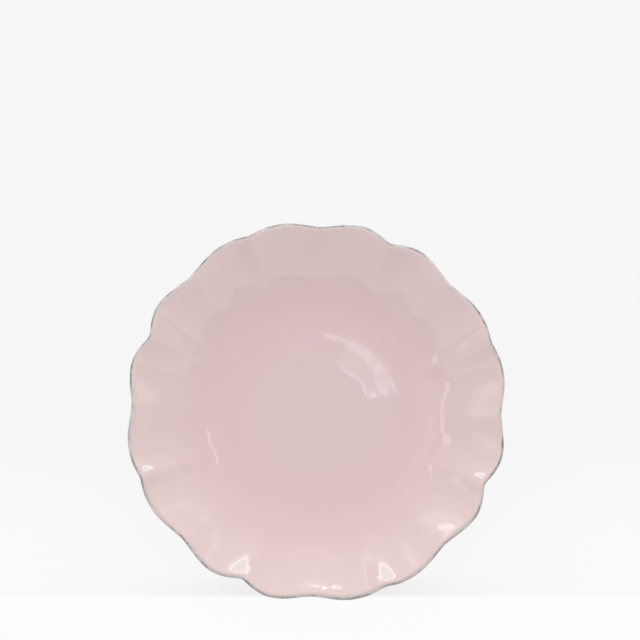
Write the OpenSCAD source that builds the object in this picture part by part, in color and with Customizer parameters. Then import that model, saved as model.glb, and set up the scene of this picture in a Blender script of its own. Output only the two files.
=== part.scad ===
// Deep plate with a ruffled rim, in stoneware with a pink gloss glaze and a grey edge.
// Millimetres. +Z is up and the plate stands on z = 0, with its axis on x = y = 0.

/* [Rim] */
// Width of the plate across the lobes of its rim
rim_d = 220; // [190:1:250]
// Height of the rim above the table, at a lobe
lobe_h = 32; // [27:1:45]
// Thickness of the clay at the lip
lip_t = 3.6; // [2.6:0.1:5]
// Slope of the lip, in degrees from level
lip_slope = 32; // [14:1:36]
// Width of the strip inside the rim where the wall eases into the slope of the lip
flare_w = 5; // [4:0.5:18]

/* [Well] */
// Width of the flat floor of the well
well_d = 89; // [70:1:104]
// Thickness of the clay under the floor of the well
floor_t = 5.4; // [4:0.1:7]

/* [Ruffle] */
// Times that the row of ridges (wide, shallow, wide, deep) goes round the rim
repeats = 4; // [3:1:5]
// Width of the circle on the wall where the ridges start
ruffle_d = 110; // [96:1:130]
// How late the ridges draw the wall in on the way to the rim
pull_growth = 1.4; // [1.1:0.1:2.4]
// How late the ridges lift the wall on the way to the rim
rise_growth = 2.3; // [1.2:0.1:5]
// Rounding of the ridges' crests, in degrees round the rim
crest_round = 0.9; // [0.4:0.1:3]
// How far a wide ridge draws the rim in
wide_in = 3.7; // [1:0.1:6]
// How far a wide ridge lifts the rim
wide_rise = 0.4; // [0.1:0.1:4]
// Half the angle that a wide ridge takes up
wide_span = 13.3; // [9:0.1:18]
// Sharpness of a wide ridge, from round to creased
wide_crease = 0.5; // [0:0.1:1]
// How far a shallow ridge draws the rim in
shallow_in = 1.8; // [0.5:0.1:5]
// How far a shallow ridge lifts the rim
shallow_rise = 2.9; // [0.5:0.1:5]
// Half the angle that a shallow ridge takes up
shallow_span = 6.7; // [5:0.1:13]
// Sharpness of a shallow ridge, from round to creased
shallow_crease = 0.8; // [0:0.1:1]
// How far a deep ridge draws the rim in
deep_in = 4.5; // [1:0.1:7]
// How far a deep ridge lifts the rim
deep_rise = 1.7; // [1:0.1:6]
// Half the angle that a deep ridge takes up
deep_span = 10; // [6:0.1:14]
// Sharpness of a deep ridge, from round to creased
deep_crease = 1; // [0:0.1:1]

/* [Foot] */
// Outside width of the foot ring
foot_d = 96; // [76:1:112]
// Width of the foot ring's wall
foot_w = 5; // [4:0.1:7]
// Height of the foot ring
foot_h = 5; // [4:0.1:8]
// Rounding of the foot ring's lower edges
foot_round = 1.2; // [0.5:0.1:1.8]
// Flat strip of the underside that is left outside the foot ring
heel_w = 2; // [1:0.1:4]

/* [Coats] */
// Thickness of the glaze and of the grey band
coat_t = 0.4; // [0.2:0.05:0.7]
// Part of the lip's round that the grey band covers, in degrees
band_arc = 80; // [60:2:160]
// Bare strip of clay left between the glaze and the foot ring
bare_w = 0.6; // [0.3:0.1:0.9]

/* [Hidden] */
// Shared points of the section
rim_r = rim_d / 2;
well_r = well_d / 2;
foot_r = foot_d / 2;
base_r = foot_r + heel_w;
flare_r = rim_r - flare_w;
floor_z = foot_h + floor_t;
lip_r = lip_t / 2;
lip_mid = [rim_r - coat_t - lip_r, lobe_h - coat_t - lip_r];
lip_side = lip_r * [-sin(lip_slope), cos(lip_slope)];
face_start = [well_r, floor_z];
face_end = lip_mid + lip_side;
under_start = [base_r, foot_h];
under_end = lip_mid - lip_side;
// Angles on the lip's round where one coat gives way to the next
band_top = lip_slope + band_arc / 2;
band_low = lip_slope - band_arc / 2;
// Steps of the swept surfaces
pitch = 360 / (4 * repeats);
columns = 32 * repeats;
face_steps = 8;
under_steps = 7;
lip_steps = 4;
$fn = 180;

// Ridges in the order that they follow each other: pull, lift, half angle and crease
wide = [wide_in, wide_rise, wide_span, wide_crease];
shallow = [shallow_in, shallow_rise, shallow_span, shallow_crease];
deep = [deep_in, deep_rise, deep_span, deep_crease];
ridge_row = [wide, shallow, wide, deep];

// Height of a ridge of unit size at an angle from its crest
function ridge(away, span, crease) =
    let (
        part = (norm([away, crest_round]) - crest_round) / (norm([span, crest_round]) - crest_round),
        within = min(part, 1))
    (1 - crease) * (1 + cos(180 * within)) / 2 + crease * (1 - sin(90 * within));

// Pull and lift that one ridge gives at an angle round the rim
function ridge_share(number, angle) =
    let (kind = ridge_row[(number + 4) % 4])
    [kind[0], kind[1]] * ridge(angle - number * pitch, kind[2], kind[3]);

// Pull and lift of the rim at an angle
function ruffle(angle) =
    let (near = round(angle / pitch))
    ridge_share(near - 1, angle) + ridge_share(near, angle) + ridge_share(near + 1, angle);

// Share of the ruffle that reaches a radius on the wall
function ruffle_share(radius, growth) =
    pow(max(0, (2 * radius - ruffle_d) / (rim_d - ruffle_d)), growth);

// A point of the section, put in its place round the plate
function placed(point, angle) =
    let (
        move = ruffle(angle),
        radius = point[0] - move[0] * ruffle_share(point[0], pull_growth),
        lift = move[1] * ruffle_share(point[0], rise_growth))
    [radius * cos(angle), radius * sin(angle), point[1] + lift];

// Slope that the wall reaches at the flare, so that it ends at the lip
function full_slope(start, end) =
    (2 * (end[1] - start[1]) - tan(lip_slope) * (end[0] - flare_r)) / (end[0] - start[0]);

// Slope of the wall: level at the well, full at the flare, and the lip's own at the lip
function slope(radius, start, end) =
    let (
        most = full_slope(start, end),
        climb = min((radius - start[0]) / (flare_r - start[0]), 1),
        ease = max(radius - flare_r, 0) / (end[0] - flare_r))
    most * climb * climb * (3 - 2 * climb) + (tan(lip_slope) - most) * ease;

// Height of the wall, which adds up that slope
function height(radius, start, end) =
    let (
        most = full_slope(start, end),
        wall_w = flare_r - start[0],
        climb = min((radius - start[0]) / wall_w, 1),
        past = max(radius - flare_r, 0),
        ease = past / (end[0] - flare_r))
    start[1] + most * wall_w * pow(climb, 3) * (1 - climb / 2)
        + past * (most + (tan(lip_slope) - most) * ease / 2);

// Point of the wall part of the way from its start to its end, moved off it by a coat
function wall_point(part, start, end, coat) =
    let (radius = start[0] + part * (end[0] - start[0]), tilt = slope(radius, start, end))
    [radius, height(radius, start, end)] + coat * [-tilt, 1] / norm([tilt, 1]);

// Points of the upper side, from the well to the lip, lifted by a coat
function face_point(step, coat) = wall_point(step / face_steps, face_start, face_end, coat);

// Points of the underside, from the foot to the lip, lowered by a coat
function under_point(step, coat) = wall_point(step / under_steps, under_start, under_end, -coat);

// Point of the lip's round at an angle
function lip_point(angle, coat) = lip_mid + (lip_r + coat) * [cos(angle), sin(angle)];

// Stretches of the section that the clay and its coats share
function face_out(coat) = [for (step = [0:face_steps]) face_point(step, coat)];
function face_in(coat) = [for (step = [face_steps:-1:0]) face_point(step, coat)];
function under_out(coat) = [for (step = [0:under_steps]) under_point(step, coat)];
function under_in(coat) = [for (step = [under_steps:-1:0]) under_point(step, coat)];
function band_down(coat) =
    [for (step = [0:lip_steps]) lip_point(band_top - band_arc * step / lip_steps, coat)];
function band_up(coat) =
    [for (step = [lip_steps:-1:0]) lip_point(band_top - band_arc * step / lip_steps, coat)];

// Order of two points of a section, so that touching pieces split their faces alike
function ahead(one, two) = one[0] < two[0] || (one[0] == two[0] && one[1] < two[1]);

// Faces between two neighbouring columns of the sweep
function strip_faces(section, column, count, last) =
    [for (row = [0:last]) let (
        next = (row + 1) % count,
        turn = ((column + 1) % columns) * count,
        a = column * count + row,
        b = turn + row,
        c = turn + next,
        d = column * count + next)
        each ahead(section[row], section[next]) ? [[a, b, c], [a, c, d]] : [[a, b, d], [b, c, d]]];

// A solid swept round the plate; an open section is closed by a flat disc on each side
module swept(section, open) {
    count = len(section);
    last = open ? count - 2 : count - 1;
    sides = [for (column = [0:columns - 1]) each strip_faces(section, column, count, last)];
    upper = [for (column = [columns - 1:-1:0]) column * count];
    lower = [for (column = [0:columns - 1]) column * count + count - 1];
    points = [for (column = [0:columns - 1]) for (point = section) placed(point, 360 * column / columns)];
    polyhedron(points = points, faces = open ? concat(sides, [upper, lower]) : sides, convexity = 6);
}

// Pressed stoneware: well, wall and ruffled rim
module clay_body() {
    color([0.86, 0.82, 0.76])
        swept(concat(face_out(0), band_down(0), under_in(0)), true);
}

// Bare ring of stoneware that the plate stands on
module foot_ring() {
    color([0.83, 0.78, 0.71])
        rotate_extrude()
            translate([foot_r - foot_w, 0]) {
                translate([0, foot_round]) square([foot_w, foot_h - foot_round]);
                translate([foot_round, 0]) square([foot_w - 2 * foot_round, foot_h]);
                translate([foot_round, foot_round]) circle(foot_round);
                translate([foot_w - foot_round, foot_round]) circle(foot_round);
            }
}

// Pink glaze over the well and the wall
module face_glaze() {
    color([0.86, 0.72, 0.72])
        swept(concat(face_out(coat_t), [lip_point(band_top, coat_t), lip_point(band_top, 0)], face_in(0)), true);
}

// Pink glaze under the plate, from the lip to the foot
module back_glaze() {
    edge = foot_r + bare_w;
    color([0.86, 0.72, 0.72])
        swept(concat([lip_point(band_low, coat_t)], under_in(coat_t), [[edge, foot_h - coat_t], [edge, foot_h]],
            under_out(0), [lip_point(band_low, 0)]), false);
}

// Pink glaze on the disc inside the foot ring
module base_glaze() {
    color([0.86, 0.72, 0.72])
        translate([0, 0, foot_h - coat_t])
            cylinder(h = coat_t, r = foot_r - foot_w - bare_w);
}

// Grey worn band round the lip
module edge_band() {
    color([0.5, 0.49, 0.48])
        swept(concat(band_down(coat_t), band_up(0)), false);
}

clay_body();
foot_ring();
face_glaze();
back_glaze();
base_glaze();
edge_band();
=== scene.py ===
"""Looks of a deep plate with a ruffled rim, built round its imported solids."""

import math

import bmesh
import bpy
from bpy.props import FloatProperty, FloatVectorProperty, IntProperty, PointerProperty
from mathutils import Matrix, Vector


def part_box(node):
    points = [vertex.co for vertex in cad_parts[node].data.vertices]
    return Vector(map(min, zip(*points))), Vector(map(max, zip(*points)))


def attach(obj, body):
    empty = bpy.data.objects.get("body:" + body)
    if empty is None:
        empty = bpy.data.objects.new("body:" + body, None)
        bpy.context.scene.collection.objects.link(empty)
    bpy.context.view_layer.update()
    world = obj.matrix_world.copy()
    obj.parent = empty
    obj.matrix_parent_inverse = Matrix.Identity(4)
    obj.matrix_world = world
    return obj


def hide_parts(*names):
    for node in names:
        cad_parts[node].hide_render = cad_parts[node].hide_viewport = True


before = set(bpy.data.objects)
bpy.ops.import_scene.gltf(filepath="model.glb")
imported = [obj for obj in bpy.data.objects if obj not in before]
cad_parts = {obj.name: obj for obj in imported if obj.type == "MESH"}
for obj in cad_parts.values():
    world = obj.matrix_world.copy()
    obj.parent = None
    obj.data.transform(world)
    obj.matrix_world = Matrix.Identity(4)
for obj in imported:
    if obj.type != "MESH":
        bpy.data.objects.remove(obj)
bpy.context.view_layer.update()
FOOT_LOW, FOOT_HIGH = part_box("foot_ring")

bl_info = {
    "name": "Ruffled Deep Plate",
    "version": (1, 0, 0),
    "blender": (4, 5, 0),
    "location": "View3D > Sidebar > Plate",
    "description": "Dresses a glazed deep plate and sets it on a pale table",
    "category": "Object",
}

# Steps of the swept pieces: round the plate, along its walls, round its edges, across its discs
COLUMNS = 480
FACE_STEPS = 44
UNDER_STEPS = 34
LIP_STEPS = 12
TURN_STEPS = 4
FLOOR_STEPS = 8
# Angle from which an edge is sharp, and distance within which points are one
SHARP = math.radians(50)
MERGE = 1e-6
# Reach of the wear from the line where the glaze and the band meet
EDGE_REACH = 0.006
TABLE_RADIUS = 4.0
TABLE_SIDES = 96
IMAGE_PIXELS = 640
SENSOR_WIDTH = 36.0

# Noises of the finishes: scale, detail and roughness
GLAZE_CLOUD = (26.0, 3.0, 0.5)
GLAZE_MOTTLE = (150.0, 4.0, 0.55)
GLAZE_FRAY = (260.0, 4.0, 0.6)
GLAZE_WASH = (55.0, 3.0, 0.5)
GLAZE_SPECK = (900.0, 1.0, 0.5)
GLAZE_SWELL = (38.0, 1.0, 0.5)
GLAZE_PEEL = (620.0, 1.0, 0.5)
GLAZE_SHEEN = (90.0, 2.0, 0.5)
BAND_PATCH = (110.0, 4.0, 0.6)
BAND_GRAIN = (900.0, 3.0, 0.6)
BAND_RUB = (48.0, 2.0, 0.5)
BAND_FRAY = (320.0, 3.0, 0.6)
CLAY_CLOUD = (60.0, 3.0, 0.5)
CLAY_GROG = (1400.0, 2.0, 0.6)
# Turning marks in the clay: scale, distortion, and their share of its bump
RING_SCALE, RING_SWAY, RING_SHARE = 260.0, 1.5, 0.5
# How far noises move the tones and the borders that they act on
CLOUD_SWAY, GLAZE_FRAY_SWAY, BAND_FRAY_SWAY, FLECK_SWAY = 0.12, 0.35, 0.9, 0.6
# Masks of the finishes: where each one starts, where it is full, and its full share
MOTTLED = (0.52, 0.75, 0.25)
WASHED = (0.38, 0.66, 0.22)
WORN = (0.80, 1.15, 1.0)
SPECKED = (0.72, 0.78, 0.5)
SPECK_ZONE = (0.5, 1.0, 1.0)
PATCHED = (0.40, 0.62, 1.0)
FLECKED = (0.56, 0.68, 0.85)
RUBBED = (0.52, 0.68, 0.6)
RAGGED = (0.86, 1.0, 0.8)
GROG_FLECKS = (0.62, 0.72, 0.5)
# Shares of the thin glaze on crests and of the worn glaze at the band
CREST_SHARE, WORN_SHARE = 0.5, 0.75
# Radius that the glaze's tones are shares of
GLAZE_REACH = 0.11
# Painted light on the right of the well: its lighter tone reaches further out there, as a painted
# soft reflection
PAINTED_GLOW_RATE, PAINTED_GLOW_SHARE, PAINTED_GLOW_END = 9.0, 0.18, (0.48, 0.68)
# Pale and dark clay, as shares of the clay's colour
CLAY_PALE, CLAY_DARK = 1.12, 0.55
# Bumps of the finishes: strength and depth
SWELL_BUMP = (0.2, 0.0003)
PEEL_BUMP = (0.1, 0.000006)
BAND_BUMP = (0.35, 0.0002)
CLAY_BUMP = (0.5, 0.0003)
# Roughness of the finishes, and what their noises and wear add to it
GLAZE_ROUGH, SHEEN_ROUGH, WORN_ROUGH = 0.018, 0.012, 0.05
BAND_ROUGH, PATCH_ROUGH = 0.3, 0.25
CLAY_ROUGH, GROG_ROUGH = 0.72, 0.2
GLAZE_IOR, CLAY_IOR = 1.5, 1.45

# Zones of the table, by distance towards its near side: start, full and full share. The pale zone
# and the near strip are painted light
PAINTED_LIGHT_ZONE = (0.01, 0.075, 0.48)
SHADE_ZONE = (0.092, 0.104, 0.24)
PAINTED_STRIP_ZONE = (0.1052, 0.1085, 1.0)
# Zone where the plate's shadow ends, by distance from the plate's axis
SHADOW_ZONE = (0.075, 0.108, 1.0)
# Share of the table's even glow, what the painted light strip adds to it, and what the shadow
# takes away
TABLE_GLOW, PAINTED_STRIP_GLOW, SHADOW_SHARE = 0.90, 0.08, 0.8

UP = Vector((0, 0, 1))
BACK, FRONT, LEFT, RIGHT, DOWN = (0, -1, 0), (0, 1, 0), (-1, 0, 0), (1, 0, 0), (0, 0, -1)
WHITE, COOL, CLEAR = (1, 1, 1), (0.36, 0.90, 1.0), (0.72, 0.94, 1.0)
# Planes that hold the lamps: the window, the walls of the room, and the lamps overhead
WINDOW_Y, WALL, LAMP_Z = 2.8, 1.6, 1.23
# Panels that the glaze mirrors: start, end, facing, width, brightness and tint
PANELS = {
    "key_core": ((-2.45, WINDOW_Y, 0.575), (2.39, WINDOW_Y, 0.575), BACK, 0.45, 2.75, COOL),
    "key_low": ((-2.60, WINDOW_Y, 0.275), (2.54, WINDOW_Y, 0.275), BACK, 0.15, 5.0, CLEAR),
    "key_high": ((-2.60, WINDOW_Y, 0.875), (2.54, WINDOW_Y, 0.875), BACK, 0.15, 5.0, CLEAR),
    "key_left": ((-2.525, WINDOW_Y, 0.35), (-2.525, WINDOW_Y, 0.80), BACK, 0.15, 5.0, CLEAR),
    "key_right": ((2.465, WINDOW_Y, 0.35), (2.465, WINDOW_Y, 0.80), BACK, 0.15, 5.0, CLEAR),
    "fill_front": ((-WALL, -WALL, 1.05), (WALL, -WALL, 1.05), FRONT, 2.10, 0.80, WHITE),
    "fill_left": ((-WALL, -WALL, 1.11), (-WALL, -0.4, 1.11), RIGHT, 2.22, 0.80, WHITE),
    "fill_right": ((WALL, -WALL, 1.11), (WALL, -0.4, 1.11), LEFT, 2.22, 0.80, WHITE),
    "brim_front": ((-WALL, -WALL, 2.03), (WALL, -WALL, 2.03), FRONT, 0.14, 0.55, WHITE),
    "brim_left": ((-WALL, -WALL, 2.13), (-WALL, -0.4, 2.13), RIGHT, 0.18, 0.55, WHITE),
    "brim_right": ((WALL, -WALL, 2.13), (WALL, -0.4, 2.13), LEFT, 0.18, 0.55, WHITE),
    "left_line": ((0.268, 0.120, LAMP_Z), (0.272, 0.220, LAMP_Z), DOWN, 0.045, 2.5, WHITE),
    "right_top": ((-0.845, -0.120, LAMP_Z), (-0.845, 0.020, LAMP_Z), DOWN, 0.17, 1.9, WHITE),
    "right_taper": ((-0.785, 0.020, LAMP_Z), (-0.765, 0.065, LAMP_Z), DOWN, 0.12, 2.0, WHITE),
    "right_middle": ((-0.73, 0.065, LAMP_Z), (-0.73, 0.115, LAMP_Z), DOWN, 0.07, 2.2, WHITE),
    "right_turn": ((-0.780, 0.115, LAMP_Z), (-0.780, 0.145, LAMP_Z), DOWN, 0.09, 2.1, WHITE),
    "right_low": ((-0.86, 0.145, LAMP_Z), (-0.86, 0.290, LAMP_Z), DOWN, 0.25, 2.0, WHITE),
    "right_tip": ((-0.80, 0.290, LAMP_Z), (-0.84, 0.410, LAMP_Z), DOWN, 0.09, 1.2, WHITE),
    "edge_left": ((-0.42, WINDOW_Y, 1.032), (-0.20, WINDOW_Y, 1.032), BACK, 0.030, 2.1, WHITE),
    "edge_middle": ((-0.20, WINDOW_Y, 1.032), (0.30, WINDOW_Y, 1.032), BACK, 0.030, 3.0, WHITE),
    "edge_right": ((0.30, WINDOW_Y, 1.032), (0.42, WINDOW_Y, 1.032), BACK, 0.030, 6.0, WHITE),
    "edge_halo": ((-0.42, WINDOW_Y, 1.080), (0.45, WINDOW_Y, 1.080), BACK, 0.040, 1.0, WHITE),
}
# Thin lamps overhead that the floor of the well mirrors near its border:
# start, end, width, spread in degrees and brightness
WELL_LAMPS = {
    "arc_start": ((0.0086, 0.1730), (0.0366, 0.1640), 0.016, 6, 2.40),
    "arc_turn": ((0.0421, 0.1629), (0.0581, 0.1484), 0.024, 6, 2.50),
    "arc_middle": ((0.0574, 0.1489), (0.0714, 0.1379), 0.024, 6, 2.50),
    "arc_bend": ((0.0710, 0.1324), (0.0785, 0.1189), 0.016, 6, 2.40),
    "arc_end": ((0.0760, 0.1150), (0.0765, 0.0980), 0.009, 6, 2.15),
    "line_start": ((0.0110, 0.1330), (0.0300, 0.1290), 0.006, 1.7, 0.60),
    "line_turn": ((0.0300, 0.1290), (0.0360, 0.1240), 0.004, 1.7, 1.40),
    "line_middle": ((0.0360, 0.1240), (0.0500, 0.1085), 0.003, 1.7, 3.1),
    "line_end": ((0.0500, 0.1085), (0.0590, 0.0925), 0.003, 1.7, 3.0),
    "line_tip": ((0.0635, 0.0965), (0.0680, 0.0965), 0.005, 1.7, 5.2),
    "glow_start": ((0.0290, 0.1410), (0.0490, 0.1280), 0.022, 3, 0.75),
    "glow_end": ((0.0490, 0.1280), (0.0710, 0.0950), 0.022, 3, 0.75),
}
# Small lamps close to the plate, mirrored as the bright strip in its lowest lobe. Each one starts
# where the one before it ends: end, the spot that it faces, width and brightness
STRIP_START = (0.0575, 0.2731, 0.1612)
STRIP_LAMPS = {
    "strip_start": ((0.0605, 0.2711, 0.1660), (0.0069, -0.1013, 0.0300), 0.004, 11.5),
    "strip_turn": ((0.0598, 0.2702, 0.1685), (0.0089, -0.1016, 0.0301), 0.003, 10.5),
    "strip_gap": ((0.0535, 0.2686, 0.1747), (0.0108, -0.1022, 0.0302), 0.002, 7.0),
    "strip_rise": ((0.0485, 0.2679, 0.1778), (0.0126, -0.1026, 0.0303), 0.002, 17.0),
    "strip_crest": ((0.0424, 0.2672, 0.1810), (0.0137, -0.1027, 0.0303), 0.002, 18.0),
    "strip_middle": ((0.0353, 0.2662, 0.1843), (0.0148, -0.1028, 0.0303), 0.002, 19.0),
    "strip_fall": ((0.0271, 0.2651, 0.1876), (0.0159, -0.1029, 0.0303), 0.002, 18.0),
    "strip_end": ((0.0176, 0.2640, 0.1907), (0.0170, -0.1030, 0.0304), 0.002, 12.5),
}
STRIP_SPREAD = 1.3
# Square lights that the lobes mirror softly: place, the spot that each one faces, size,
# spread in degrees and brightness
GLOWS = {
    "glow_left": ((2.413, 0.506, 1.162), (-0.0985, 0.0085, 0.028), 0.7, 10, 1.1),
    "glow_right": ((-2.333, 0.25, 1.20), (0.092, 0.0117, 0.0235), 1.0, 16, 1.7),
    "glow_high_left": ((2.40, -0.095, 1.16), (-0.085, 0.044, 0.026), 0.7, 10, 0.6),
    "glow_low_left": ((1.597, 1.784, 1.309), (-0.0773, -0.056, 0.0249), 0.7, 10, 1.2),
    "glow_low_right": ((-1.70, 2.24, 1.44), (0.072, -0.062, 0.026), 1.0, 14, 1.6),
    "glow_wall": ((-0.40, 0.10, LAMP_Z), (0.068, 0.01, 0.0145), 0.8, 30, 0.75),
    "glow_low": ((0.0, 2.151, 1.703), (0.0, -0.085, 0.018), 0.7, 10, 0.6),
    "spot": ((-1.91, WINDOW_Y, 1.39), (0.0758, -0.065, 0.0288), 0.17, 4.4, 5.6),
}


# Kinds of value that the property groups hold
def length(name, text, default):
    return FloatProperty(name=name, description=text, default=default, min=0,
                         subtype="DISTANCE", unit="LENGTH", precision=5)


def angle(name, text, degrees):
    return FloatProperty(name=name, description=text, default=math.radians(degrees),
                         subtype="ANGLE", unit="ROTATION")


def share(name, text, default):
    return FloatProperty(name=name, description=text, default=default, min=0)


def pixels(name, text, default):
    return FloatProperty(name=name, description=text, default=default, subtype="PIXEL")


def colour(name, text, default):
    return FloatVectorProperty(name=name, description=text, default=default, size=3,
                               min=0, max=1, subtype="COLOR")


class PlateSizes(bpy.types.PropertyGroup):
    """Sizes of the plate, the same as its solids have."""

    rim_width: length("Rim width", "Width across the lobes of the rim", 0.220)
    lobe_height: length("Lobe height", "Height of the rim at a lobe", 0.032)
    lip_thickness: length("Lip thickness", "Thickness of the clay at the lip", 0.0036)
    lip_slope: angle("Lip slope", "Slope of the lip from level", 32)
    flare_width: length("Flare width", "Strip where the wall eases into the lip", 0.005)
    well_width: length("Well width", "Width of the flat floor of the well", 0.089)
    floor_thickness: length("Floor thickness", "Clay under the well", 0.0054)
    repeats: IntProperty(name="Repeats", description="Times that the row of ridges goes round",
                         default=4, min=3, max=5)
    ruffle_width: length("Ruffle start", "Width of the circle where the ridges start", 0.110)
    pull_growth: share("Pull growth", "How late the ridges draw the wall in", 1.4)
    lift_growth: share("Lift growth", "How late the ridges lift the wall", 2.3)
    crest_round: angle("Crest round", "Rounding of a ridge's crest", 0.9)
    wide_pull: length("Wide pull", "How far a wide ridge draws the rim in", 0.0037)
    wide_lift: length("Wide lift", "How far a wide ridge lifts the rim", 0.0004)
    wide_span: angle("Wide span", "Half the angle of a wide ridge", 13.3)
    wide_crease: share("Wide crease", "Sharpness of a wide ridge", 0.5)
    shallow_pull: length("Shallow pull", "How far a shallow ridge draws the rim in", 0.0018)
    shallow_lift: length("Shallow lift", "How far a shallow ridge lifts the rim", 0.0029)
    shallow_span: angle("Shallow span", "Half the angle of a shallow ridge", 6.7)
    shallow_crease: share("Shallow crease", "Sharpness of a shallow ridge", 0.8)
    deep_pull: length("Deep pull", "How far a deep ridge draws the rim in", 0.0045)
    deep_lift: length("Deep lift", "How far a deep ridge lifts the rim", 0.0017)
    deep_span: angle("Deep span", "Half the angle of a deep ridge", 10)
    deep_crease: share("Deep crease", "Sharpness of a deep ridge", 1)
    foot_width: length("Foot width", "Outside width of the foot ring", FOOT_HIGH.x - FOOT_LOW.x)
    foot_height: length("Foot height", "Height of the foot ring", FOOT_HIGH.z)
    foot_wall: length("Foot wall", "Width of the foot ring's wall", 0.005)
    foot_round: length("Foot round", "Rounding of the foot ring's lower edges", 0.0012)
    heel_width: length("Heel width", "Flat strip outside the foot ring", 0.002)
    coat: length("Coat", "Thickness of the glaze and of the grey band", 0.0004)
    band_arc: angle("Band arc", "Part of the lip's round that the band covers", 80)
    bare_width: length("Bare width", "Bare clay between the glaze and the foot", 0.0006)


class PlateFinish(bpy.types.PropertyGroup):
    """Colours of the glaze, the band and the clay."""

    glaze_well: colour("Glaze in the well", "Pink on the floor of the well", (0.700, 0.530, 0.538))
    # Pooled glaze, also painted shade: a deeper pink round the border of the well
    glaze_pool_and_painted_shade: colour("Pooled glaze", "Pink where the glaze lies thick", (0.715, 0.522, 0.535))
    # Wall glaze, also painted light: a paler pink on the outer wall
    glaze_wall_and_painted_light: colour("Glaze on the wall", "Pink of the wall", (0.715, 0.556, 0.546))
    glaze_thin: colour("Thin glaze", "Pink where the glaze runs thin", (0.709, 0.556, 0.544))
    band: colour("Band", "Grey of the worn band", (0.34, 0.325, 0.32))
    band_dark: colour("Band specks", "Charcoal specks in the band", (0.06, 0.057, 0.057))
    band_pale: colour("Band wear", "Pale places in the band", (0.56, 0.505, 0.495))
    clay: colour("Clay", "Bare fired clay", (0.62, 0.55, 0.46))


class PlateStage(bpy.types.PropertyGroup):
    """Camera, light and table."""

    distance: length("Camera distance", "Camera to the middle of the rim", 1.2)
    lean: angle("Camera lean", "Camera below the plate's axis", 3.5)
    roll: angle("Camera roll", "Turn of the picture", 1.37)
    centre_x: pixels("Centre X", "Plate's middle in the picture, from its left", 316.5)
    centre_y: pixels("Centre Y", "Plate's middle in the picture, from its top", 409.9)
    rim_pixels: pixels("Rim size", "Width of the rim in the picture", 383.2)
    table: colour("Table", "Colour of the table and of the room behind it", (0.933, 0.935, 0.935))
    # Painted light: the table's near strip is painted brighter than the rest
    painted_light_strip: colour("Apron", "Colour of the table's near strip", (0.982, 0.982, 0.982))
    overhead: share("Overhead light", "Room's light from straight above", 0.945)
    level: share("Level light", "Room's light from the sides", 1.18)
    slant: share("Slant", "How much more light comes from the top of the picture", 0.53)
    gloss: share("Gloss", "Brightness of the lamps that show only as reflections", 1.0)


class Number:
    """A number socket that takes Python's arithmetic, with one Math node a step."""

    def __init__(self, paint, socket):
        self.paint = paint
        self.socket = socket

    def step(self, operation, one, two, clamp=False):
        node = self.paint.add("ShaderNodeMath", {"operation": operation, "use_clamp": clamp},
                              {0: one, 1: two})
        return Number(self.paint, node.outputs[0])

    def __add__(self, other):
        return self.step("ADD", self, other)

    def __radd__(self, other):
        return self.step("ADD", other, self)

    def __sub__(self, other):
        return self.step("SUBTRACT", self, other)

    def __rsub__(self, other):
        return self.step("SUBTRACT", other, self)

    def __mul__(self, other):
        return self.step("MULTIPLY", self, other)

    def __rmul__(self, other):
        return self.step("MULTIPLY", other, self)

    def __truediv__(self, other):
        return self.step("DIVIDE", self, other)

    def __rtruediv__(self, other):
        return self.step("DIVIDE", other, self)

    def __pow__(self, other):
        return self.step("POWER", self, other)

    def __rpow__(self, other):
        return self.step("POWER", other, self)

    def clamped(self):
        return self.step("ADD", self, 0.0, True)


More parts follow.
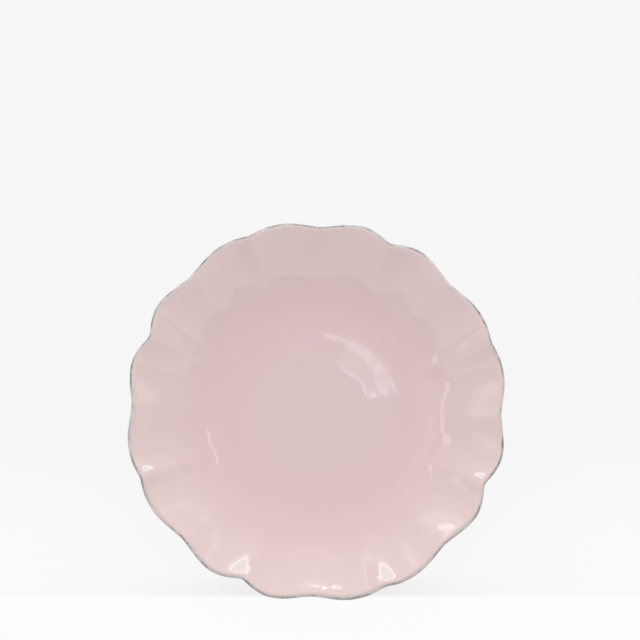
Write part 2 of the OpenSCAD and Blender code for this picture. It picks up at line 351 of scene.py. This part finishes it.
class Paint:
    """The node tree of a material or of the world."""

    def __init__(self, owner):
        owner.use_nodes = True
        self.tree = owner.node_tree
        self.tree.nodes.clear()

    def add(self, kind, settings=None, inputs=None):
        """Makes a node: its settings first, then the values and links of its sockets."""
        node = self.tree.nodes.new(kind)
        for name, value in (settings or {}).items():
            if name == "stops":
                ramp = node.color_ramp
                while len(ramp.elements) < len(value):
                    ramp.elements.new(1.0)
                for element, (place, tone) in zip(ramp.elements, value):
                    element.position = place
                    element.color = (*tone, 1.0)
            else:
                setattr(node, name, value)
        for name, value in (inputs or {}).items():
            socket = node.inputs[name]
            if isinstance(value, Number):
                value = value.socket
            if isinstance(value, bpy.types.NodeSocket):
                self.tree.links.new(value, socket)
            elif socket.type == "RGBA":
                socket.default_value = (*value, 1.0)
            else:
                socket.default_value = value
        return node

    def number(self, kind, settings=None, inputs=None, output=0):
        return Number(self, self.add(kind, settings, inputs).outputs[output])

    def shader(self, kind, inputs):
        return self.add(kind, None, inputs).outputs[0]

    def noise(self, place, scale, detail, roughness):
        return self.number("ShaderNodeTexNoise", {"noise_dimensions": "3D"},
                           {"Vector": place, "Scale": scale, "Detail": detail,
                            "Roughness": roughness})

    def sway(self, noise, amount):
        """A noise moved to lie evenly round 0."""
        return (noise - 0.5) * amount

    def ease(self, value, low, high, full=1.0):
        """0 below low, full above high, and smooth between them."""
        return self.number("ShaderNodeMapRange", {"interpolation_type": "SMOOTHSTEP"},
                           {"Value": value, "From Min": low, "From Max": high, "To Max": full})

    def mix(self, factor, one, two):
        node = self.add("ShaderNodeMix", {"data_type": "RGBA"}, {0: factor, 6: one, 7: two})
        return node.outputs[2]

    def blend(self, factor, one, two):
        return self.shader("ShaderNodeMixShader", {0: factor, 1: one, 2: two})

    def ramp(self, value, stops):
        return self.add("ShaderNodeValToRGB", {"stops": stops}, {"Fac": value}).outputs["Color"]

    def place(self):
        return self.add("ShaderNodeTexCoord").outputs["Object"]

    def split(self, vector):
        node = self.add("ShaderNodeSeparateXYZ", None, {0: vector})
        return [Number(self, socket) for socket in node.outputs]

    def from_axis(self, across, along):
        """Distance from the plate's axis."""
        return (across * across + along * along) ** 0.5

    def attribute(self, name):
        return self.number("ShaderNodeAttribute", {"attribute_name": name}, None, "Fac")

    def seen(self):
        """1 for rays that show the room itself, 0 for rays that gather its light."""
        path = self.add("ShaderNodeLightPath").outputs
        rays = ("Is Camera Ray", "Is Glossy Ray", "Is Transmission Ray")
        camera, glossy, clear = (Number(self, path[ray]) for ray in rays)
        return (camera + glossy + clear).clamped()

    def bump(self, height, strength, depth, normal=None):
        inputs = {"Height": height, "Strength": strength, "Distance": depth}
        if normal is not None:
            inputs["Normal"] = normal
        return self.add("ShaderNodeBump", None, inputs).outputs["Normal"]

    def surface(self, inputs):
        self.finish(self.shader("ShaderNodeBsdfPrincipled", inputs))

    def finish(self, shader):
        self.add("ShaderNodeOutputMaterial", None, {"Surface": shader})


def glaze_material(finish):
    """Pink gloss glaze: pooled round the well, thin on crests and near the lip, with painted shade
    and light in its tones by radius.
    """
    material = bpy.data.materials.new("pink_glaze")
    paint = Paint(material)
    place = paint.place()
    across, along, _ = paint.split(place)
    reach = paint.from_axis(across, along) / GLAZE_REACH
    cloud = paint.sway(paint.noise(place, *GLAZE_CLOUD), CLOUD_SWAY)
    # Painted soft reflection: on the right of the well the lighter well tone reaches further out
    lean = (across * PAINTED_GLOW_RATE).clamped() * (1 - paint.ease(reach, *PAINTED_GLOW_END))
    # Tones by radius: partly real pooling and thinning, partly painted; the deeper pink round the
    # well's border is painted shade, the paler outer wall painted light
    stops = [(0.0, finish.glaze_well), (0.28, finish.glaze_well), (0.50, finish.glaze_pool_and_painted_shade),
             (0.64, finish.glaze_pool_and_painted_shade), (0.80, finish.glaze_wall_and_painted_light), (1.0, finish.glaze_thin)]
    tone = paint.ramp(reach + cloud - lean * PAINTED_GLOW_SHARE, stops)
    mottle = paint.ease(paint.noise(place, *GLAZE_MOTTLE), *MOTTLED)
    tone = paint.mix(mottle, tone, finish.glaze_pool_and_painted_shade)
    crest = paint.attribute("crest")
    tone = paint.mix(crest * crest * CREST_SHARE, tone, finish.glaze_thin)
    edge = paint.attribute("edge")
    fray = paint.sway(paint.noise(place, *GLAZE_FRAY), GLAZE_FRAY_SWAY)
    wash = paint.ease(paint.noise(place, *GLAZE_WASH), *WASHED)
    worn = paint.ease(edge + fray + wash, *WORN)
    tone = paint.mix(worn * WORN_SHARE, tone, finish.band_pale)
    speck = paint.ease(paint.noise(place, *GLAZE_SPECK), *SPECKED)
    tone = paint.mix(speck * paint.ease(edge, *SPECK_ZONE), tone, finish.band)
    normal = paint.bump(paint.noise(place, *GLAZE_SWELL), *SWELL_BUMP)
    normal = paint.bump(paint.noise(place, *GLAZE_PEEL), *PEEL_BUMP, normal)
    sheen = paint.noise(place, *GLAZE_SHEEN)
    rough = GLAZE_ROUGH + sheen * SHEEN_ROUGH + worn * WORN_ROUGH
    paint.surface({"Base Color": tone, "Roughness": rough, "IOR": GLAZE_IOR, "Normal": normal})
    return material


def band_material(finish):
    """Grey band at the lip, ragged at its borders and flecked with charcoal."""
    material = bpy.data.materials.new("grey_band")
    paint = Paint(material)
    place = paint.place()
    patch = paint.noise(place, *BAND_PATCH)
    grain = paint.noise(place, *BAND_GRAIN)
    edge = paint.attribute("edge")
    tone = paint.mix(paint.ease(patch, *PATCHED), finish.band, finish.band_pale)
    fleck = paint.ease(grain - paint.sway(patch, FLECK_SWAY), *FLECKED)
    tone = paint.mix(fleck, tone, finish.band_dark)
    rubbed = paint.ease(paint.noise(place, *BAND_RUB), *RUBBED)
    fray = paint.sway(paint.noise(place, *BAND_FRAY), BAND_FRAY_SWAY)
    ragged = paint.ease(edge + fray, *RAGGED)
    tone = paint.mix((rubbed + ragged).clamped(), tone, finish.glaze_thin)
    normal = paint.bump(grain, *BAND_BUMP)
    rough = BAND_ROUGH + patch * PATCH_ROUGH
    paint.surface({"Base Color": tone, "Roughness": rough, "IOR": GLAZE_IOR, "Normal": normal})
    return material


def clay_material(finish):
    """Bare fired clay with iron flecks and fine turning marks."""
    material = bpy.data.materials.new("bare_clay")
    paint = Paint(material)
    place = paint.place()
    cloud = paint.noise(place, *CLAY_CLOUD)
    grog = paint.noise(place, *CLAY_GROG)
    pale = [min(1.0, channel * CLAY_PALE) for channel in finish.clay]
    dark = [channel * CLAY_DARK for channel in finish.clay]
    tone = paint.mix(cloud, finish.clay, pale)
    tone = paint.mix(paint.ease(grog, *GROG_FLECKS), tone, dark)
    rings = paint.number("ShaderNodeTexWave",
                         {"wave_type": "RINGS", "rings_direction": "Z", "wave_profile": "SIN"},
                         {"Vector": place, "Scale": RING_SCALE, "Distortion": RING_SWAY}, "Fac")
    normal = paint.bump(rings * RING_SHARE + grog, *CLAY_BUMP)
    rough = CLAY_ROUGH + grog * GROG_ROUGH
    paint.surface({"Base Color": tone, "Roughness": rough, "IOR": CLAY_IOR, "Normal": normal})
    return material


def own_material(name, make, finish):
    """The material of that name, made when it is first asked for."""
    return bpy.data.materials.get(name) or make(finish)


class Ruffle:
    """Pull and lift of the ridges, worked out once for each column of the sweep."""

    ROW = ("wide", "shallow", "wide", "deep")

    def __init__(self, sizes):
        self.start = sizes.ruffle_width / 2
        self.reach = sizes.rim_width / 2 - self.start
        self.pull_growth = sizes.pull_growth
        self.lift_growth = sizes.lift_growth
        self.crest_round = sizes.crest_round
        self.pitch = math.tau / (len(self.ROW) * sizes.repeats)
        parts = ("_pull", "_lift", "_span", "_crease")
        self.kinds = [[getattr(sizes, kind + part) for part in parts] for kind in self.ROW]
        self.columns = [self.rim(math.tau * column / COLUMNS) for column in range(COLUMNS)]

    def ridge(self, away, span, crease):
        """Height of a ridge of unit size at an angle from its crest."""
        off = self.crest_round
        part = min((math.hypot(away, off) - off) / (math.hypot(span, off) - off), 1)
        return ((1 - crease) * (1 + math.cos(math.pi * part)) / 2
                + crease * (1 - math.sin(math.pi / 2 * part)))

    def rim(self, turn):
        """Pull, lift and height of the crest at an angle round the rim."""
        near = round(turn / self.pitch)
        pull = lift = crest = 0.0
        for number in (near - 1, near, near + 1):
            most_pull, most_lift, span, crease = self.kinds[number % len(self.ROW)]
            height = self.ridge(turn - number * self.pitch, span, crease)
            pull += most_pull * height
            lift += most_lift * height
            crest = max(crest, height)
        return pull, lift, crest

    def move(self, vert, crest):
        """Puts a vertex of the plain sweep into its place in the ruffle."""
        radius = math.hypot(vert.co.x, vert.co.y)
        run = (radius - self.start) / self.reach
        if run <= 0:
            return
        turn = math.atan2(vert.co.y, vert.co.x) / math.tau
        pull, lift, height = self.columns[round(turn * COLUMNS) % COLUMNS]
        shrink = 1 - pull * run ** self.pull_growth / radius
        rise = lift * run ** self.lift_growth
        vert[crest] = height * min(run, 1.0)
        vert.co = Vector((vert.co.x * shrink, vert.co.y * shrink, vert.co.z + rise))


def disc(reach, height):
    """Points of a flat disc from the axis outwards, short of its edge."""
    return [Vector((reach * step / FLOOR_STEPS, 0, height)) for step in range(FLOOR_STEPS)]


def arc(middle, radius, start, end, steps):
    """Points of a round between two angles."""
    turns = [start + (end - start) * step / steps for step in range(steps + 1)]
    return [middle + radius * Vector((math.cos(turn), 0, math.sin(turn))) for turn in turns]


def nearness(points, meeting):
    """1 on the line where the glaze and the band meet, 0 from a set distance on."""
    return [max(0.0, 1 - (point - meeting).length / EDGE_REACH) for point in points]


class Section:
    """The plate's section: points of its clay and coats, as radius and height."""

    def __init__(self, sizes):
        self.slope = sizes.lip_slope
        self.flare = sizes.rim_width / 2 - sizes.flare_width
        self.lip_radius = sizes.lip_thickness / 2
        edge = sizes.coat + self.lip_radius
        self.lip_middle = Vector((sizes.rim_width / 2 - edge, 0, sizes.lobe_height - edge))
        side = self.lip_radius * Vector((-math.sin(self.slope), 0, math.cos(self.slope)))
        self.foot_radius = sizes.foot_width / 2
        self.base = sizes.foot_height
        self.floor = sizes.foot_height + sizes.floor_thickness
        self.face_start = Vector((sizes.well_width / 2, 0, self.floor))
        self.face_end = self.lip_middle + side
        self.under_start = Vector((self.foot_radius + sizes.heel_width, 0, self.base))
        self.under_end = self.lip_middle - side
        self.band_top = self.slope + sizes.band_arc / 2
        self.band_low = self.slope - sizes.band_arc / 2
        self.face_turn = self.slope + math.pi / 2
        self.under_turn = self.slope - math.pi / 2

    def wall(self, part, start, end, coat):
        """Point of the wall: level at its start, steepest at the flare, then the lip's slope."""
        run = end.x - start.x
        radius = start.x + part * run
        lip = math.tan(self.slope)
        beyond = end.x - self.flare
        most = (2 * (end.z - start.z) - lip * beyond) / run
        width = self.flare - start.x
        climb = min((radius - start.x) / width, 1)
        past = max(radius - self.flare, 0)
        ease = past / beyond
        tilt = most * climb ** 2 * (3 - 2 * climb) + (lip - most) * ease
        height = start.z + most * width * climb ** 3 * (1 - climb / 2)
        height += past * (most + (lip - most) * ease / 2)
        return Vector((radius, 0, height)) + coat * Vector((-tilt, 0, 1)).normalized()

    def face(self, coat):
        """Upper side from the axis to the start of the lip's round."""
        flat = disc(self.face_start.x, self.floor + coat)
        return flat + [self.wall(step / FACE_STEPS, self.face_start, self.face_end, coat)
                       for step in range(FACE_STEPS + 1)]

    def under(self, coat):
        """Underside from the foot to the start of the lip's round."""
        return [self.wall(step / UNDER_STEPS, self.under_start, self.under_end, -coat)
                for step in range(UNDER_STEPS + 1)]

    def lip(self, start, end, coat, steps):
        """Round of the lip between two angles."""
        return arc(self.lip_middle, self.lip_radius + coat, start, end, steps)


def new_object(name, mesh, material):
    """Makes a mesh that was worked on into an object of the scene."""
    data = bpy.data.meshes.new(name)
    mesh.to_mesh(data)
    mesh.free()
    data.materials.append(material)
    item = bpy.data.objects.new(name, data)
    bpy.context.scene.collection.objects.link(item)
    return item


def swept_piece(name, points, ruffle, material, marks=()):
    """Spins a section round the axis, then pulls and lifts it into its ruffle."""
    mesh = bmesh.new()
    crest = mesh.verts.layers.float.new("crest")
    edge = mesh.verts.layers.float.new("edge")
    corners = [mesh.verts.new(point) for point in points]
    for corner, mark in zip(corners, marks):
        corner[edge] = mark
    lines = [mesh.edges.new(pair) for pair in zip(corners, corners[1:])]
    if points[0].x > MERGE:
        lines.append(mesh.edges.new((corners[-1], corners[0])))
    bmesh.ops.spin(mesh, geom=corners + lines, cent=(0, 0, 0), axis=UP, dvec=(0, 0, 0),
                   angle=math.tau, steps=COLUMNS, use_merge=True)
    bmesh.ops.remove_doubles(mesh, verts=mesh.verts, dist=MERGE)
    bmesh.ops.recalc_face_normals(mesh, faces=mesh.faces)
    for vert in mesh.verts:
        ruffle.move(vert, crest)
    for face in mesh.faces:
        face.smooth = True
    for line in mesh.edges:
        line.smooth = line.calc_face_angle(0.0) < SHARP
    return new_object(name, mesh, material)


def settle(piece, node):
    """Puts a piece in the place of its solid."""
    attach(piece, "root")
    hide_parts(node)


class PLATE_OT_clay_body(bpy.types.Operator):
    """Shapes the pressed clay: well, wall and ruffled rim"""

    bl_idname = "plate.clay_body"
    bl_label = "Clay Body"

    def execute(self, context):
        sizes = context.scene.plate_sizes
        section = Section(sizes)
        material = own_material("bare_clay", clay_material, context.scene.plate_finish)
        points = section.face(0)
        points += section.lip(section.face_turn, section.under_turn, 0, LIP_STEPS)[1:-1]
        points += section.under(0)[::-1] + [Vector((0, 0, section.base))]
        piece = swept_piece("clay_shell", points, Ruffle(sizes), material)
        settle(piece, "clay_body")
        return {"FINISHED"}


class PLATE_OT_glaze(bpy.types.Operator):
    """Coats the face, the back and the base with pink glaze"""

    bl_idname = "plate.glaze"
    bl_label = "Glaze"

    def execute(self, context):
        sizes = context.scene.plate_sizes
        section = Section(sizes)
        ruffle = Ruffle(sizes)
        coat = sizes.coat
        material = own_material("pink_glaze", glaze_material, context.scene.plate_finish)

        top = section.lip(section.face_turn, section.band_top, coat, TURN_STEPS)
        face = section.face(coat) + top[1:]
        face += section.lip(section.band_top, section.face_turn, 0, TURN_STEPS)[:-1]
        face += section.face(0)[::-1]
        piece = swept_piece("glaze_face", face, ruffle, material, nearness(face, top[-1]))
        settle(piece, "face_glaze")

        start = section.foot_radius + sizes.bare_width
        low = section.lip(section.band_low, section.under_turn, coat, TURN_STEPS)
        back = low[:-1] + section.under(coat)[::-1]
        back += [Vector((start, 0, section.base - coat)), Vector((start, 0, section.base))]
        back += section.under(0)
        back += section.lip(section.under_turn, section.band_low, 0, TURN_STEPS)[1:]
        piece = swept_piece("glaze_back", back, ruffle, material, nearness(back, low[0]))
        settle(piece, "back_glaze")

        reach = section.foot_radius - sizes.foot_wall - sizes.bare_width
        middle = Vector((reach - coat, 0, section.base))
        base = disc(reach, section.base - coat)
        base += arc(middle, coat, -math.pi / 2, 0, TURN_STEPS)
        base.append(Vector((0, 0, section.base)))
        piece = swept_piece("glaze_base", base, ruffle, material)
        settle(piece, "base_glaze")
        return {"FINISHED"}


class PLATE_OT_band(bpy.types.Operator):
    """Lays the grey band round the lip"""

    bl_idname = "plate.band"
    bl_label = "Edge Band"

    def execute(self, context):
        sizes = context.scene.plate_sizes
        section = Section(sizes)
        material = own_material("grey_band", band_material, context.scene.plate_finish)
        points = section.lip(section.band_top, section.band_low, sizes.coat, LIP_STEPS)
        points += section.lip(section.band_low, section.band_top, 0, LIP_STEPS)
        across = [abs(2 * step / LIP_STEPS - 1) for step in range(LIP_STEPS + 1)]
        piece = swept_piece("band_ring", points, Ruffle(sizes), material, across * 2)
        settle(piece, "edge_band")
        return {"FINISHED"}


class PLATE_OT_foot(bpy.types.Operator):
    """Turns the bare foot ring"""

    bl_idname = "plate.foot"
    bl_label = "Foot Ring"

    def execute(self, context):
        sizes = context.scene.plate_sizes
        material = own_material("bare_clay", clay_material, context.scene.plate_finish)
        outer = sizes.foot_width / 2
        inner = outer - sizes.foot_wall
        off = sizes.foot_round
        points = [Vector((inner, 0, sizes.foot_height))]
        for middle, first in ((inner + off, math.pi), (outer - off, 1.5 * math.pi)):
            points += arc(Vector((middle, 0, off)), off, first, first + math.pi / 2, TURN_STEPS)
        points.append(Vector((outer, 0, sizes.foot_height)))
        piece = swept_piece("foot_turned", points, Ruffle(sizes), material)
        settle(piece, "foot_ring")
        return {"FINISHED"}


def gloss_lamp(name, start, end, facing, width, brightness, tint=WHITE, spread=math.pi):
    """A flat lamp along a line, which shows only as a reflection in the glaze."""
    start, end = Vector(start), Vector(end)
    back = -Vector(facing).normalized()
    side = back.cross(end - start).normalized()
    half = spread / 2
    narrow = 1 - half / math.tan(half)
    lamp = bpy.data.lights.new(name, "AREA")
    lamp.shape = "RECTANGLE"
    lamp.size = (end - start).length
    lamp.size_y = width
    lamp.spread = spread
    lamp.color = tint
    lamp.energy = brightness * math.pi * lamp.size * width * narrow
    body = bpy.data.objects.new(name, lamp)
    turn = Matrix((side.cross(back), side, back)).transposed()
    body.matrix_world = Matrix.LocRotScale((start + end) / 2, turn, None)
    body.visible_camera = False
    body.visible_diffuse = False
    bpy.context.scene.collection.objects.link(body)


def aimed_lamp(name, start, end, spot, width, degrees, brightness):
    """A gloss lamp that faces a spot, with a narrow spread."""
    facing = spot - (start + end) / 2
    gloss_lamp(name, start, end, facing, width, brightness, spread=math.radians(degrees))


class PLATE_OT_stage(bpy.types.Operator):
    """Sets the table, the light and the camera"""

    bl_idname = "plate.stage"
    bl_label = "Stage"

    def execute(self, context):
        stage = context.scene.plate_stage
        sizes = context.scene.plate_sizes
        self.table(stage)
        self.room(context, stage)
        away = Vector((0, -math.sin(stage.lean), math.cos(stage.lean)))
        eye = Vector((0, 0, sizes.lobe_height)) + away * stage.distance
        self.lamps(eye, Section(sizes).floor + sizes.coat, stage.gloss)
        self.camera(context, eye, away, stage, sizes)
        context.scene.view_settings.view_transform = "Standard"
        return {"FINISHED"}

    def table(self, stage):
        """Pale round table, painted lighter towards its near side and brighter on its near strip,
        with the plate's shadow under it.
        """
        material = bpy.data.materials.new("pale_table")
        paint = Paint(material)
        across, along, _ = paint.split(paint.place())
        near = across * math.tan(stage.roll) - along
        # Painted light: lighter towards the near side, brighter still on the near strip, which
        # also glows more evenly
        painted_light_strip = paint.ease(near, *PAINTED_STRIP_ZONE)
        pale = paint.ease(near, *PAINTED_LIGHT_ZONE)
        tone = paint.mix(pale + painted_light_strip * (1 - pale), stage.table, stage.painted_light_strip)
        shade = paint.ease(near, *SHADE_ZONE)
        under = 1 - paint.ease(paint.from_axis(across, along), *SHADOW_ZONE)
        steady = (TABLE_GLOW - shade + painted_light_strip * (shade + PAINTED_STRIP_GLOW)) * (1 - under * SHADOW_SHARE)
        matt = paint.shader("ShaderNodeBsdfDiffuse", {"Color": tone})
        glow = paint.shader("ShaderNodeEmission", {"Color": tone})
        paint.finish(paint.blend(paint.seen() * steady, matt, glow))
        mesh = bmesh.new()
        bmesh.ops.create_circle(mesh, cap_ends=True, segments=TABLE_SIDES, radius=TABLE_RADIUS)
        table = new_object("table_top", mesh, material)

    def room(self, context, stage):
        """Soft light from all round, stronger from the sides and from the picture's top."""
        world = bpy.data.worlds.new("pale_room")
        context.scene.world = world
        paint = Paint(world)
        toward = paint.add("ShaderNodeTexCoord").outputs["Generated"]
        _, upward, overhead = paint.split(toward)
        strength = stage.level + overhead * (stage.overhead - stage.level) + upward * stage.slant
        room = paint.shader("ShaderNodeBackground", {"Color": WHITE, "Strength": strength})
        pale = paint.shader("ShaderNodeBackground", {"Color": stage.table})
        mixed = paint.blend(paint.seen(), room, pale)
        paint.add("ShaderNodeOutputWorld", None, {"Surface": mixed})

    def lamps(self, eye, floor, gloss):
        """Panels, thin lamps and soft lights that the glaze mirrors."""
        for name, (start, end, facing, width, brightness, tint) in PANELS.items():
            gloss_lamp(name, start, end, facing, width, brightness * gloss, tint)
        for name, (start, end, width, spread, brightness) in WELL_LAMPS.items():
            start, end = Vector((*start, LAMP_Z)), Vector((*end, LAMP_Z))
            spot = ((start + end) / 2 + eye) / 2
            spot.z = floor
            aimed_lamp(name, start, end, spot, width, spread, brightness * gloss)
        start = Vector(STRIP_START)
        for name, (end, spot, width, brightness) in STRIP_LAMPS.items():
            end, spot = Vector(end), Vector(spot)
            aimed_lamp(name, start, end, spot, width, STRIP_SPREAD, brightness * gloss)
            start = end
        for name, (place, spot, size, spread, brightness) in GLOWS.items():
            place, spot = Vector(place), Vector(spot)
            reach = (spot - place).cross(UP).normalized() * size / 2
            aimed_lamp(name, place - reach, place + reach, spot, size, spread, brightness * gloss)

    def camera(self, context, eye, away, stage, sizes):
        """Looks down on the plate, with its middle where the picture has it."""
        data = bpy.data.cameras.new("camera")
        camera = bpy.data.objects.new("camera", data)
        context.scene.collection.objects.link(camera)
        context.scene.camera = camera
        focal = stage.distance * stage.rim_pixels / sizes.rim_width
        data.sensor_width = SENSOR_WIDTH
        data.lens = SENSOR_WIDTH * focal / IMAGE_PIXELS
        across = math.atan((IMAGE_PIXELS / 2 - stage.centre_x) / focal)
        down = math.atan((IMAGE_PIXELS / 2 - stage.centre_y) / focal)
        turn = (-away).to_track_quat("-Z", "Y").to_matrix().to_4x4()
        spin = Matrix.Rotation(stage.roll, 4, "Z")
        aim = Matrix.Rotation(-across, 4, "Y") @ Matrix.Rotation(-down, 4, "X")
        camera.matrix_world = Matrix.Translation(eye) @ turn @ spin @ aim


class PLATE_PT_panel(bpy.types.Panel):
    """Lists the plate's pieces, sizes and finishes"""

    bl_idname = "PLATE_PT_panel"
    bl_label = "Deep Plate"
    bl_space_type = "VIEW_3D"
    bl_region_type = "UI"
    bl_category = "Plate"

    def draw(self, context):
        for operator in OPERATORS:
            self.layout.operator(operator.bl_idname)
        scene = context.scene
        for group in (scene.plate_sizes, scene.plate_finish, scene.plate_stage):
            box = self.layout.box()
            for name in group.__annotations__:
                box.prop(group, name)


OPERATORS = (PLATE_OT_clay_body, PLATE_OT_glaze, PLATE_OT_band, PLATE_OT_foot, PLATE_OT_stage)
CLASSES = (PlateSizes, PlateFinish, PlateStage) + OPERATORS + (PLATE_PT_panel,)


def register():
    for item in CLASSES:
        bpy.utils.register_class(item)
    bpy.types.Scene.plate_sizes = PointerProperty(type=PlateSizes)
    bpy.types.Scene.plate_finish = PointerProperty(type=PlateFinish)
    bpy.types.Scene.plate_stage = PointerProperty(type=PlateStage)


def unregister():
    del bpy.types.Scene.plate_stage
    del bpy.types.Scene.plate_finish
    del bpy.types.Scene.plate_sizes
    for item in reversed(CLASSES):
        bpy.utils.unregister_class(item)


def main():
    register()
    bpy.ops.plate.clay_body()
    bpy.ops.plate.glaze()
    bpy.ops.plate.band()
    bpy.ops.plate.foot()
    bpy.ops.plate.stage()


if __name__ == "__main__":
    main()
